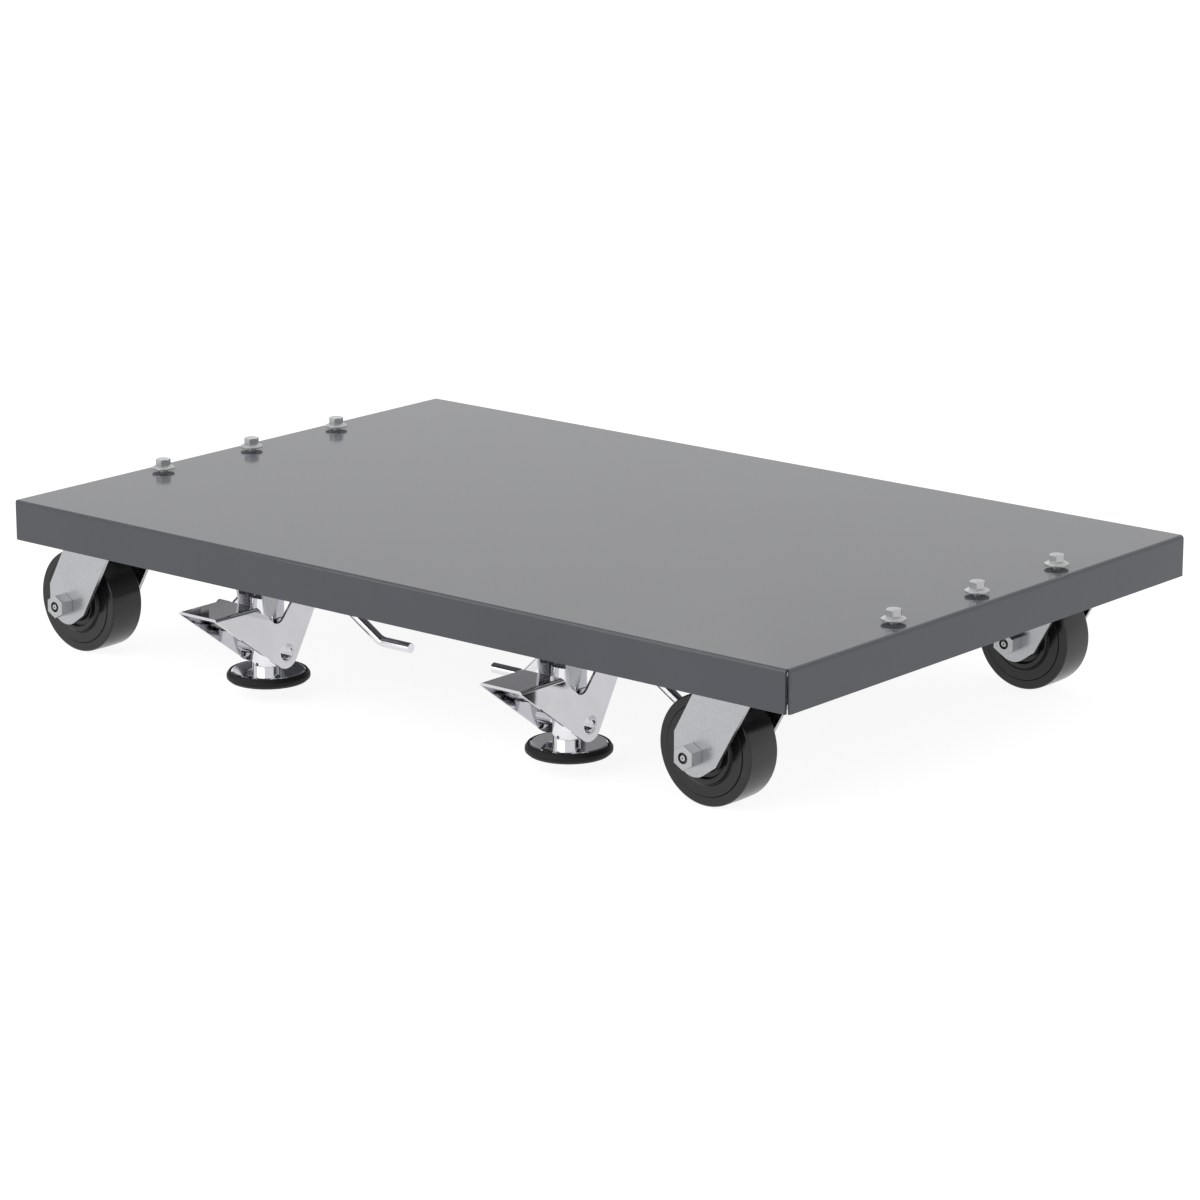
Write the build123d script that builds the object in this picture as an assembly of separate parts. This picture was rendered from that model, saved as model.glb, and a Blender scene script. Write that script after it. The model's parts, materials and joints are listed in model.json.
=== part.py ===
"""Steel platform dolly: a folded deck on four swivel casters, with two foot-operated floor locks.

Millimetres. The origin is the centre of the deck's top face: +X runs along the long side,
-Y faces the side with the lock pedals, +Z is up. The dolly stands unlocked, its casters
trailing towards -X, and the wheels touch the floor at z = -floor_drop.
"""
from build123d import *
import os
from math import cos, radians, sin, tan

# ---------------------------------------------------------------- driving dimensions
# Deck: one steel sheet folded down on four sides
deck_length = 914.4
deck_width = 589.0
skirt_height = 38.1
sheet = 2.5
fold_radius = 3.5
corner_notch = (3.4, 2.6)

# Flange bolts that hold a load frame; they stand a little proud until a frame is under them
bolt_x = 434.5
bolt_pitch = 121.0
bolt_radius = 3.97
bolt_hole_radius = 4.3
bolt_flats = 12.7
bolt_head_top = 12.0
bolt_stand_off = 2.6
bolt_flange_radius = 10.9
bolt_flange_edge = 1.3
bolt_cone_height = 2.0
bolt_cone_top = 7.0
bolt_shank_low = -24.0
weld_nut_height = 7.0

# Welded reinforcing plates under the deck
pad_thickness = 5.0
caster_pad_size = (120.0, 108.0)
lock_pad_size = (116.0, 110.0)
screw_tip_cover = 0.2

# Casters
caster_x = 378.8
caster_y = 232.5
caster_trail = 42.0
floor_drop = 150.0
wheel_radius = 49.2
wheel_crown = 0.4
wheel_width = 38.6
wheel_shoulder = 2.0
bearing_radius = 11.9
hub_half = 27.5
hub_radii = (16.5, 18.5)
boss_radii = (24.0, 27.8)
boss_proud = 2.6
moat_radii = (29.2, 30.6)
moat_depth = 0.9
web_recess = 1.0
sidewall_step_radius = 40.0
sidewall_step = 0.7
plate_thickness = 4.0
caster_plate = (114.3, 101.6)
caster_holes = (92.1, 66.7)
caster_screw_radius = 4.76
fork_outer = 34.0
fork_thickness = 4.0
fork_crown_half = 31.0
fork_bends = (8.0, 4.0)
fork_tip_radius = 18.0
race_rim_radii = (29.0, 32.5)
race_rim_height = 7.0
axle_radius = 6.35
axle_flats = 19.0
axle_head_end = 48.0
axle_overhang = 13.0
nut_height = 11.0
fitting_recess = (5.0, 2.5)
fitting_radius = 2.6
fitting_proud = 0.4
ball_radius = 2.7
ball_ring_radius = 23.5
balls_per_race = 20
kingpin_radius = 8.0
kingpin_head = (14.0, 6.0)

# Floor locks
lock_x = 180.0
lock_y = -241.6
lock_plate = (102.0, 102.0)
lock_plate_y = -235.0
lock_holes = 76.2
lock_screw_radius = 3.97
frame_outer = 17.5
frame_thickness = 3.0
guide_radius = 15.9
guide_bore = 12.5
guide_top = -56.0
guide_bottom = -91.0
guide_square_to = -75.0
bush_height = 7.0
spring_wire = 1.0
spring_radius = 10.9
spring_turns = 4
stem_radius = 9.0
stem_top = -57.0
piston_height = 3.0
hub_radius = 14.5
hub_top = -93.5
pad_top = -125.6
pad_radius = 34.3
pad_plate_height = 2.4
set_screw_radius = 1.7
set_screw_height = 7.0
rubber_radius = 38.3
rubber_bottom = -135.4
plunger_travel = 14.4

# Pedal: a folded channel whose cheeks straddle the frame
pedal_outer = 23.75
pedal_sheet = 2.5
pedal_pin_z = -106.0
pedal_pin_radius = 8.5
pedal_pin_bore = (6.2, 3.5)
pedal_turn = 33.0
tread_front = -330.4
tread_back = -276.5
tread_top = -57.3
arm_angle = 30.0
arm_length = 78.0
arm_half_width = 15.0
knee_radius = 4.0
knee_boss = 11.0
knee_head = (6.0, 2.0)

# Release bar: a bent rod that hangs in the frame
rod_radius = 4.75
rod_y = -212.0
rod_z = -20.0
rod_end_y = -191.0
rod_end_z = -93.8
rod_inner_end = 130.5
rod_outer_end = 112.5
rod_bend_x = 94.0
rod_knee_x = 62.0
rod_top_x = 40.0
rod_slope = 40.0
rod_bend_radius = 12.0
trip_sleeve_radius = 7.5
trip_half_width = 13.5
trip_inner_half = 10.5

# Fits
running_gap = 0.05
slack = 0.3

# ---------------------------------------------------------------- derived places
pad_bottom = -sheet - pad_thickness
plate_bottom = pad_bottom - plate_thickness
axle_z = wheel_radius - floor_drop
crown_top = -21.0
crown_bottom = crown_top - fork_thickness
caster_corners = {
    "front_left": (-caster_x, -caster_y),
    "front_right": (caster_x, -caster_y),
    "rear_left": (-caster_x, caster_y),
    "rear_right": (caster_x, caster_y),
}
lock_sides = {"left": -lock_x, "right": lock_x}


def cylinder_z(radius, low, high, x=0.0, y=0.0):
    """Upright cylinder between two heights."""
    return Pos(x, y, (low + high) / 2) * Cylinder(radius, high - low)


def cylinder_x(radius, low, high, y, z):
    """Cylinder along X between two stations."""
    return Pos((low + high) / 2, y, z) * Rot(0, 90, 0) * Cylinder(radius, high - low)


def cylinder_y(radius, low, high, x, z):
    """Cylinder along Y between two stations."""
    return Pos(x, (low + high) / 2, z) * Rot(90, 0, 0) * Cylinder(radius, high - low)


def slab(size_x, size_y, low, high, x=0.0, y=0.0):
    """Flat rectangular block between two heights."""
    return Pos(x, y, (low + high) / 2) * Box(size_x, size_y, high - low)


def hex_prism(flats, low, high, x=0.0, y=0.0):
    """Upright hexagonal prism given its size across the flats."""
    prism = extrude(RegularPolygon(flats / 2, 6, major_radius=False), high - low)
    return Pos(x, y, low) * prism


def grid(size_x, size_y):
    """The four corners of a rectangle centred on the origin."""
    return [(sx * size_x / 2, sy * size_y / 2) for sx in (-1, 1) for sy in (-1, 1)]


def group(solids):
    """Separate identical solids kept together as one node."""
    return Compound(children=list(solids))


# ---------------------------------------------------------------- deck
def deck_tray():
    """Folded deck sheet: four skirts, rounded folds, an open slit at each corner."""
    outer = slab(deck_length, deck_width, -skirt_height, 0)
    outer = fillet(outer.faces().sort_by(Axis.Z)[-1].edges(), fold_radius)
    inner = slab(deck_length - 2 * sheet, deck_width - 2 * sheet, -skirt_height - 1, -sheet)
    inner = fillet(inner.faces().sort_by(Axis.Z)[-1].edges(), fold_radius - sheet)
    tray = outer - inner
    for x, y in grid(deck_length, deck_width):
        tray -= slab(2 * corner_notch[0], 2 * corner_notch[1], -skirt_height - 1, 1, x, y)
    for x, y in deck_bolt_places():
        tray -= cylinder_z(bolt_hole_radius, -sheet - 1, 1, x, y)
    return tray


def deck_bolt_places():
    """Two rows of three bolts across the ends of the deck."""
    return [(sx * bolt_x, row * bolt_pitch) for sx in (-1, 1) for row in (-1, 0, 1)]


def deck_bolt(x, y):
    """Hex flange bolt, turned in until a small gap is left under its flange."""
    flange_edge = bolt_stand_off + bolt_flange_edge
    flange = cylinder_z(bolt_flange_radius, bolt_stand_off, flange_edge, x, y)
    cone = Cone(bolt_flange_radius - 0.6, bolt_cone_top, bolt_cone_height)
    cone = Pos(x, y, flange_edge + bolt_cone_height / 2) * cone
    head = hex_prism(bolt_flats, flange_edge, bolt_head_top, x, y)
    crown = Pos(x, y, bolt_head_top - 4) * Cone(bolt_flats * 0.85, bolt_flats * 0.46, 8)
    shank = cylinder_z(bolt_radius, bolt_shank_low, bolt_stand_off, x, y)
    return flange + cone + (head & crown) + shank


def weld_nut(x, y):
    """Hex weld nut under a bolt hole."""
    nut = hex_prism(bolt_flats, -sheet - weld_nut_height, -sheet, x, y)
    return nut - cylinder_z(bolt_radius + running_gap, -20, 0, x, y)


def caster_pad(x, y):
    """Reinforcing plate welded under the deck above a caster."""
    pad = slab(*caster_pad_size, pad_bottom, -sheet, x, y)
    for dx, dy in grid(*caster_holes):
        pad -= cylinder_z(caster_screw_radius + running_gap, pad_bottom - 1, 0, x + dx, y + dy)
    return pad


def lock_pad(x):
    """Reinforcing plate welded under the deck above a floor lock."""
    pad = slab(*lock_pad_size, pad_bottom, -sheet, x, lock_plate_y)
    for dx, dy in grid(lock_holes, lock_holes):
        hole = cylinder_z(lock_screw_radius + running_gap, pad_bottom - 1, 0, x + dx, lock_plate_y + dy)
        pad -= hole
    return pad


def plate_screw(radius, x, y):
    """Hex screw driven up through a mounting plate into its pad."""
    head = hex_prism(radius * 3, plate_bottom - radius * 1.25, plate_bottom, x, y)
    return head + cylinder_z(radius, plate_bottom, -sheet - screw_tip_cover, x, y)


# ---------------------------------------------------------------- casters
def top_plate(x, y):
    """Caster mounting plate with the pressed upper ball race under it."""
    length, width = caster_plate
    plate = slab(length, width, plate_bottom, pad_bottom, x, y)
    plate = fillet(plate.edges().filter_by(Axis.Z), 8)
    race_bottom = crown_top + 2 * ball_radius + slack
    plate += cylinder_z(ball_ring_radius + 4, race_bottom, plate_bottom, x, y)
    plate -= cylinder_z(kingpin_radius, race_bottom - 1, 0, x, y)
    for dx, dy in grid(*caster_holes):
        plate -= cylinder_z(caster_screw_radius + 0.3, plate_bottom - 1, 0, x + dx, y + dy)
    return plate


def kingpin(x, y):
    """Headed pin that carries the fork's crown and lets it turn."""
    head_top = crown_bottom - slack
    pin = cylinder_z(kingpin_radius, head_top, pad_bottom - 0.2, x, y)
    head_radius, head_height = kingpin_head
    head = cylinder_z(head_radius, head_top - head_height, head_top, x, y)
    head = fillet(head.faces().sort_by(Axis.Z)[0].edges(), 2.5)
    return pin + head


def race_balls(x, y):
    """Ring of steel balls between the top plate and the fork's crown."""
    height = crown_top + ball_radius + slack / 2
    ring = PolarLocations(ball_ring_radius, balls_per_race)
    return [Pos(x, y, height) * place * Sphere(ball_radius) for place in ring]


def fork(x, y):
    """U-shaped fork: crown with the lower race rim, two tapered legs, axle holes."""
    axle_x = x - caster_trail
    crown_rise = crown_top - axle_z
    channel = slab(220, 2 * fork_outer, axle_z - 40, crown_top, axle_x, y)
    channel = fillet(channel.faces().sort_by(Axis.Z)[-1].edges().filter_by(Axis.X), fork_bends[0])
    inside = 2 * (fork_outer - fork_thickness)
    space = slab(222, inside, axle_z - 41, crown_bottom, axle_x, y)
    space = fillet(space.faces().sort_by(Axis.Z)[-1].edges().filter_by(Axis.X), fork_bends[1])
    near, far = caster_trail - fork_crown_half, caster_trail + fork_crown_half
    outline = Polyline(
        (-20.6, -10.0), (-20.6, 16.7), (near, 75.2), (near, crown_rise),
        (far, crown_rise), (far, 75.2), (70.5, 75.2), (23.6, -7.2), (1.7, -22.9), close=True,
    )
    side = make_face(outline)
    side = fillet(side.vertices().sort_by(Axis.Y)[:1], fork_tip_radius)
    blank = Pos(axle_x, y + fork_outer + 1, axle_z) * (Plane.XZ * extrude(side, 2 * fork_outer + 2))
    body = (channel - space) & blank
    inner_rim, outer_rim = race_rim_radii
    rim = cylinder_z(outer_rim, crown_top, crown_top + race_rim_height, x, y)
    rim -= cylinder_z(inner_rim, crown_top, crown_top + race_rim_height + 1, x, y)
    body += rim
    body -= cylinder_z(kingpin_radius + running_gap, crown_bottom - 5, crown_top + 5, x, y)
    body -= cylinder_y(axle_radius + running_gap, y - 60, y + 60, axle_x, axle_z)
    return body


def hex_along_y(flats, low, high, x, z):
    """Hexagonal prism along Y with a corner at the top."""
    prism = extrude(RegularPolygon(flats / 2, 6, major_radius=False, rotation=30), high - low)
    return Pos(x, high, z) * (Rot(90, 0, 0) * prism)


def axle(x, y):
    """Axle bolt with a long hex head that holds the grease fitting."""
    axle_x = x - caster_trail
    head = hex_along_y(axle_flats, y - axle_head_end, y - fork_outer, axle_x, axle_z)
    shank = cylinder_y(axle_radius, y - fork_outer, y + fork_outer + axle_overhang, axle_x, axle_z)
    end = y - axle_head_end
    recess_radius, recess_depth = fitting_recess
    recess = cylinder_y(recess_radius, end - 1, end + recess_depth, axle_x, axle_z)
    fitting = cylinder_y(fitting_radius, end - fitting_proud, end + recess_depth, axle_x, axle_z)
    return head + shank - recess + fitting


def axle_nut(x, y):
    """Lock nut on the far end of the axle."""
    axle_x = x - caster_trail
    nut = hex_along_y(axle_flats, y + fork_outer, y + fork_outer + nut_height, axle_x, axle_z)
    return nut - cylinder_y(axle_radius + running_gap, y, y + 90, axle_x, axle_z)


def wheel_section():
    """Half section of the solid wheel, radius along X and width along Y."""
    half = wheel_width / 2
    hub_inner, hub_outer = hub_radii
    boss_inner, boss_outer = boss_radii
    moat_inner, moat_outer = moat_radii
    edge = wheel_radius - wheel_crown
    side = [
        (bearing_radius, hub_half), (hub_inner, hub_half), (hub_outer, half - web_recess),
        (boss_inner - 1.0, half - web_recess), (boss_inner, half + boss_proud),
        (boss_outer, half + boss_proud), (moat_inner, half - moat_depth), (moat_outer, half),
        (sidewall_step_radius, half), (sidewall_step_radius + 0.4, half - sidewall_step),
        (edge - wheel_shoulder, half - sidewall_step),
    ]
    shoulder = half - wheel_shoulder - sidewall_step
    tread = [(edge, -shoulder), (wheel_radius, 0), (edge, shoulder)]
    round_off = 0.3 * wheel_shoulder
    rim = (edge - round_off, half - sidewall_step - round_off)
    mirrored = [(r, -w) for r, w in side]
    with BuildSketch() as section:
        with BuildLine():
            Polyline(*side)
            ThreePointArc(side[-1], rim, tread[2])
            ThreePointArc(tread[2], tread[1], tread[0])
            ThreePointArc(tread[0], (rim[0], -rim[1]), mirrored[-1])
            Polyline(*reversed(mirrored))
            Line(mirrored[0], side[0])
        make_face()
    return section.sketch


def wheel(x, y):
    """Solid moulded wheel with a stepped hub and a crowned tread."""
    return Pos(x - caster_trail, y, axle_z) * revolve(wheel_section(), Axis.Y)


def wheel_bearing(x, y):
    """Roller bearing sleeve pressed in the wheel's bore."""
    axle_x = x - caster_trail
    half = fork_outer - fork_thickness - slack
    sleeve = cylinder_y(bearing_radius, y - half, y + half, axle_x, axle_z)
    return sleeve - cylinder_y(axle_radius + running_gap, y - 50, y + 50, axle_x, axle_z)


# ---------------------------------------------------------------- floor locks
def knee_place(share):
    """Y and Z of the knee pin when a share of the plunger's travel is done."""
    lean = radians(arm_angle - share * pedal_turn)
    drop = share * plunger_travel
    return lock_y + arm_length * sin(lean), pedal_pin_z - drop + arm_length * cos(lean)


def lock_frame(x):
    """Welded lock frame: mounting plate and two cheeks with the knee pin's cam slot."""
    width, depth = lock_plate
    plate = slab(width, depth, plate_bottom, pad_bottom, x, lock_plate_y)
    plate = fillet(plate.edges().filter_by(Axis.Z), 6)
    for dx, dy in grid(lock_holes, lock_holes):
        plate -= cylinder_z(lock_screw_radius + 0.3, -20, 0, x + dx, lock_plate_y + dy)
    outline = Polyline(
        (-270, plate_bottom), (-264.5, -45), (-260.5, -67), (-254, -74.2), (-247.6, -67),
        (-244, -56), (-196, -54), (-186, -44), (-186, plate_bottom), close=True,
    )
    cheek = fillet(make_face(outline).vertices().sort_by(Axis.Y)[:1], 6)
    slot_path = ThreePointArc(knee_place(0), knee_place(0.5), knee_place(1))
    cheek -= SlotArc(slot_path, 2 * knee_radius + 1.2)
    cheek -= Pos(rod_y, rod_z) * Circle(rod_radius + running_gap)
    blank = Pos(x, 0, 0) * extrude(Plane.YZ * cheek, frame_outer, both=True)
    inside = frame_outer - frame_thickness
    blank -= slab(2 * inside, 400, -100, plate_bottom, x, lock_y)
    return plate + blank


def guide_tube(x):
    """Tube welded between the cheeks; it guides the plunger and holds the return spring."""
    flat = frame_outer - frame_thickness
    tube = cylinder_z(guide_radius, guide_bottom, guide_top, x, lock_y)
    tube &= slab(2 * flat, 40, guide_bottom, guide_top, x, lock_y) + cylinder_z(
        guide_radius, guide_bottom, guide_square_to, x, lock_y)
    return tube - cylinder_z(guide_bore, guide_bottom - 1, guide_top + 1, x, lock_y)


def guide_bush(x):
    """Plain bush in the mouth of the guide tube."""
    bush = cylinder_z(guide_bore, guide_bottom, guide_bottom + bush_height, x, lock_y)
    return bush - cylinder_z(stem_radius + running_gap, guide_bottom - 1, guide_top, x, lock_y)


def return_spring(x):
    """Compression spring between the bush and the plunger's piston."""
    low = guide_bottom + bush_height + spring_wire + slack
    high = stem_top - piston_height - spring_wire - slack
    coil = Helix(pitch=(high - low) / spring_turns, height=high - low, radius=spring_radius)
    section = Plane(origin=coil @ 0, z_dir=coil % 0) * Circle(spring_wire)
    return Pos(x, lock_y, low) * sweep(section, coil, is_frenet=True)


def plunger_stem(x):
    """Plunger rod with the piston that the return spring lifts."""
    rod = cylinder_z(stem_radius, hub_top, stem_top, x, lock_y)
    return rod + cylinder_z(guide_bore - running_gap, stem_top - piston_height, stem_top, x, lock_y)


def plunger_hub(x):
    """Turned hub under the stem, cross-drilled for the pedal pin and a set screw."""
    hub = cylinder_z(hub_radius, pad_top, hub_top, x, lock_y)
    hub = chamfer(hub.faces().sort_by(Axis.Z)[-1].edges(), 1.5)
    hub -= cylinder_x(pedal_pin_radius, x - 20, x + 20, lock_y, pedal_pin_z)
    return hub - cylinder_y(set_screw_radius, lock_y - 20, lock_y - 8, x, pad_top + set_screw_height)


def pedal_pin(x):
    """Pivot pin through the hub and both pedal cheeks, hollow at its ends."""
    end = pedal_outer - 0.2
    pin = cylinder_x(pedal_pin_radius, x - end, x + end, lock_y, pedal_pin_z)
    bore, depth = pedal_pin_bore
    for low, high in ((-end - 1, depth - end), (end - depth, end + 1)):
        pin -= cylinder_x(bore, x + low, x + high, lock_y, pedal_pin_z)
    return pin


def pad_plate(x):
    """Steel disc that backs the rubber foot."""
    disc = cylinder_z(pad_radius, pad_top - pad_plate_height, pad_top, x, lock_y)
    return fillet(disc.faces().sort_by(Axis.Z)[-1].edges(), 1.0)


def pad_rubber(x):
    """Rubber foot with a rounded rim that wraps the disc's edge."""
    foot = cylinder_z(rubber_radius, rubber_bottom, pad_top - 0.4, x, lock_y)
    foot = fillet(foot.faces().sort_by(Axis.Z)[-1].edges(), 3.6)
    foot = fillet(foot.faces().sort_by(Axis.Z)[0].edges(), 2.5)
    return foot - cylinder_z(pad_radius, pad_top - pad_plate_height, pad_top + 1, x, lock_y)


def pedal(x):
    """Foot pedal: tread plate, two cheeks with a notch, and arms up to the knee pin."""
    knee_y, knee_z = knee_place(0)
    along = (sin(radians(arm_angle)), cos(radians(arm_angle)))
    across = (along[1], -along[0])
    shoulder = 0.62 * arm_length
    back = (
        lock_y + shoulder * along[0] + arm_half_width * across[0],
        pedal_pin_z + shoulder * along[1] + arm_half_width * across[1],
    )
    inner = (
        lock_y + shoulder * along[0] - arm_half_width * across[0],
        pedal_pin_z + shoulder * along[1] - arm_half_width * across[1],
    )
    notch = (-251.0, -80.0)
    heel = (
        lock_y + arm_half_width * across[0],
        pedal_pin_z + arm_half_width * across[1],
    )
    front_low = (tread_front, tread_top - 2.6)
    toe = (lock_y - arm_half_width * 0.584, pedal_pin_z - arm_half_width * 0.812)
    cheek = make_face(Polyline(
        front_low, (tread_front, tread_top), (tread_back, tread_top), (-272.5, -63.6),
        notch, inner, (knee_y, knee_z), back, heel, (lock_y, pedal_pin_z), toe, close=True,
    ))
    cheek = fillet(cheek.vertices().sort_by_distance((notch[0], notch[1], 0))[:1], 9.0)
    cheek += Pos(lock_y, pedal_pin_z) * Circle(arm_half_width)
    cheek += Pos(knee_y, knee_z) * Circle(knee_boss)
    cheek -= Pos(lock_y, pedal_pin_z) * Circle(pedal_pin_radius + running_gap)
    cheek -= Pos(knee_y, knee_z) * Circle(knee_radius)
    blank = Pos(x, 0, 0) * extrude(Plane.YZ * cheek, pedal_outer, both=True)
    folds = blank.edges().filter_by(Axis.Y).group_by(Axis.Z)[-1].sort_by(Axis.X)
    blank = fillet([folds[0], folds[-1]], 3.0)
    inside = 2 * (pedal_outer - pedal_sheet)
    blank -= slab(inside, 200, -140, tread_top - pedal_sheet, x, lock_y)
    return blank - slab(inside, 100, -100, 0, x, tread_back + 50)


def knee_pin(x):
    """Headed pin at the top of the pedal's arms; it rides in the frame's cam slot."""
    knee_y, knee_z = knee_place(0)
    pin = cylinder_x(knee_radius, x - pedal_outer, x + pedal_outer, knee_y, knee_z)
    head_radius, head = knee_head
    pin += cylinder_x(head_radius, x - pedal_outer - head, x - pedal_outer, knee_y, knee_z)
    return pin + cylinder_x(head_radius, x + pedal_outer, x + pedal_outer + head, knee_y, knee_z)


def release_bar(x):
    """Bent rod: pivot across the frame, two drops, and a foot rail at each end."""
    lean = (rod_end_y - rod_y) / (rod_end_z - rod_z)
    knee_z = rod_end_z + (rod_bend_x - rod_knee_x) * tan(radians(rod_slope))
    knee_y = rod_y + lean * (knee_z - rod_z)
    outward = 1 if x > 0 else -1
    path = FilletPolyline(
        (-outward * rod_inner_end, rod_end_y, rod_end_z), (-outward * rod_bend_x, rod_end_y, rod_end_z),
        (-outward * rod_knee_x, knee_y, knee_z), (-outward * rod_top_x, rod_y, rod_z),
        (outward * rod_top_x, rod_y, rod_z), (outward * rod_knee_x, knee_y, knee_z),
        (outward * rod_bend_x, rod_end_y, rod_end_z), (outward * rod_outer_end, rod_end_y, rod_end_z),
        radius=rod_bend_radius,
    )
    section = Plane(origin=path @ 0, z_dir=path % 0) * Circle(rod_radius)
    return Pos(x, 0, 0) * sweep(section, path)


def trip_fork(x):
    """Sleeve welded on the release bar, with two fingers that reach over the knee pin."""
    finger = make_face(Polyline(
        (rod_y, rod_z - 7.3), (rod_y - 40, rod_z - 6.5), (rod_y - 46.5, rod_z - 12),
        (rod_y - 46.5, rod_z - 24), (rod_y - 52, rod_z - 24), (rod_y - 52, rod_z - 2),
        (rod_y - 42, rod_z + 5), (rod_y, rod_z + 7.3), close=True,
    ))
    body = Pos(x, 0, 0) * extrude(Plane.YZ * finger, trip_half_width, both=True)
    body -= slab(2 * trip_inner_half, 100, -80, 0, x, rod_y - 50)
    body += cylinder_x(trip_sleeve_radius, x - trip_half_width, x + trip_half_width, rod_y, rod_z)
    return body - cylinder_x(rod_radius, x - 20, x + 20, rod_y, rod_z)


# ---------------------------------------------------------------- assembly
def build_nodes():
    """Every node of the dolly by name."""
    nodes = {
        "deck_tray": deck_tray(),
        "deck_bolts": group(deck_bolt(x, y) for x, y in deck_bolt_places()),
        "weld_nuts": group(weld_nut(x, y) for x, y in deck_bolt_places()),
        "caster_pads": group(caster_pad(x, y) for x, y in caster_corners.values()),
        "lock_pads": group(lock_pad(x) for x in lock_sides.values()),
        "caster_screws": group(
            plate_screw(caster_screw_radius, x + dx, y + dy)
            for x, y in caster_corners.values() for dx, dy in grid(*caster_holes)
        ),
        "lock_screws": group(
            plate_screw(lock_screw_radius, x + dx, lock_plate_y + dy)
            for x in lock_sides.values() for dx, dy in grid(lock_holes, lock_holes)
        ),
        "kingpins": group(kingpin(x, y) for x, y in caster_corners.values()),
        "race_balls": group(ball for x, y in caster_corners.values() for ball in race_balls(x, y)),
        "guide_tubes": group(guide_tube(x) for x in lock_sides.values()),
        "guide_bushes": group(guide_bush(x) for x in lock_sides.values()),
    }
    caster_pieces = {
        "top_plate": top_plate, "fork": fork, "axle": axle, "axle_nut": axle_nut,
        "wheel": wheel, "wheel_bearing": wheel_bearing,
    }
    for corner, (x, y) in caster_corners.items():
        for name, make in caster_pieces.items():
            nodes[f"{name}_{corner}"] = make(x, y)
    lock_pieces = {
        "lock_frame": lock_frame, "return_spring": return_spring, "plunger_stem": plunger_stem,
        "plunger_hub": plunger_hub, "pedal_pin": pedal_pin, "pad_plate": pad_plate,
        "pad_rubber": pad_rubber, "pedal": pedal, "knee_pin": knee_pin,
        "release_bar": release_bar, "trip_fork": trip_fork,
    }
    for side, x in lock_sides.items():
        for name, make in lock_pieces.items():
            nodes[f"{name}_{side}"] = make(x)
    return nodes


os.makedirs("parts", exist_ok=True)
for node_name, shape in build_nodes().items():
    export_step(shape, f"parts/{node_name}.step")
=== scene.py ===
"""Finished look of the platform dolly: folded deck, swivel casters and foot-operated floor locks.

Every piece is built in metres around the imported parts, in their own frame: the origin is the
centre of the deck's top face, +X runs along the long side and -Y faces the lock pedals.
"""

import json
import logging
from dataclasses import dataclass, field
from enum import Enum
from math import cos, degrees, pi, radians, sin, sqrt, tan
from typing import Iterable, Sequence

import bmesh
import bpy
from mathutils import Matrix, Vector

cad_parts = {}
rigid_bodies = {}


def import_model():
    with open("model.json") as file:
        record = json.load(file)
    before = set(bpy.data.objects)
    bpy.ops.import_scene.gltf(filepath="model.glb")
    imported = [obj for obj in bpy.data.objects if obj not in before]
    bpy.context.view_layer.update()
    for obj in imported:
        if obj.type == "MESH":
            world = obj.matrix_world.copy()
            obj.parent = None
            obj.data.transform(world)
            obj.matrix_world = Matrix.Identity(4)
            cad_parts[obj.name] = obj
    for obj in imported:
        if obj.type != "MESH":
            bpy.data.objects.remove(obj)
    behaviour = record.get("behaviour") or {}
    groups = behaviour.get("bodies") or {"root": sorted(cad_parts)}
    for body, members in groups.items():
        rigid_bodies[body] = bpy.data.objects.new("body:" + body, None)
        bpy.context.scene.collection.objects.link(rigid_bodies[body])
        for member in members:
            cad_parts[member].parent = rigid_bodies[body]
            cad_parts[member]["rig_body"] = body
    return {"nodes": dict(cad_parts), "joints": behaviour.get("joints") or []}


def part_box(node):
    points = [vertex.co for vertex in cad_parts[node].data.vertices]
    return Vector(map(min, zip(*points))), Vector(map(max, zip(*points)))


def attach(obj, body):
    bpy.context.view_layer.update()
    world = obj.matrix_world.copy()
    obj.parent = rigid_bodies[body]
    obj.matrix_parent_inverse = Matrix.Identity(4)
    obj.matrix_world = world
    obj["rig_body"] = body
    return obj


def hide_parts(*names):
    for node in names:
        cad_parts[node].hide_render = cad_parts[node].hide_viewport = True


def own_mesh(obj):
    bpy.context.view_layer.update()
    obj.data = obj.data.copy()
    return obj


LOG = logging.getLogger("dolly")
MM = 0.001
ARC_STEP = 15.0
HEX_CHAMFER = 30.0
HEX_FACE = 0.475
HEX_RIM = 0.18 * MM
SMALL_RIM = 0.2 * MM
TUBE_RIM = 0.3 * MM
PLATE_RIM = 0.35 * MM
PEDAL_RIM = 0.4 * MM
FORK_RIM = 0.5 * MM
NO_RIM = 0.0
MERGE = 1e-6
Point = tuple[float, float]
Colour = tuple[float, float, float]
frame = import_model()


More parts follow.
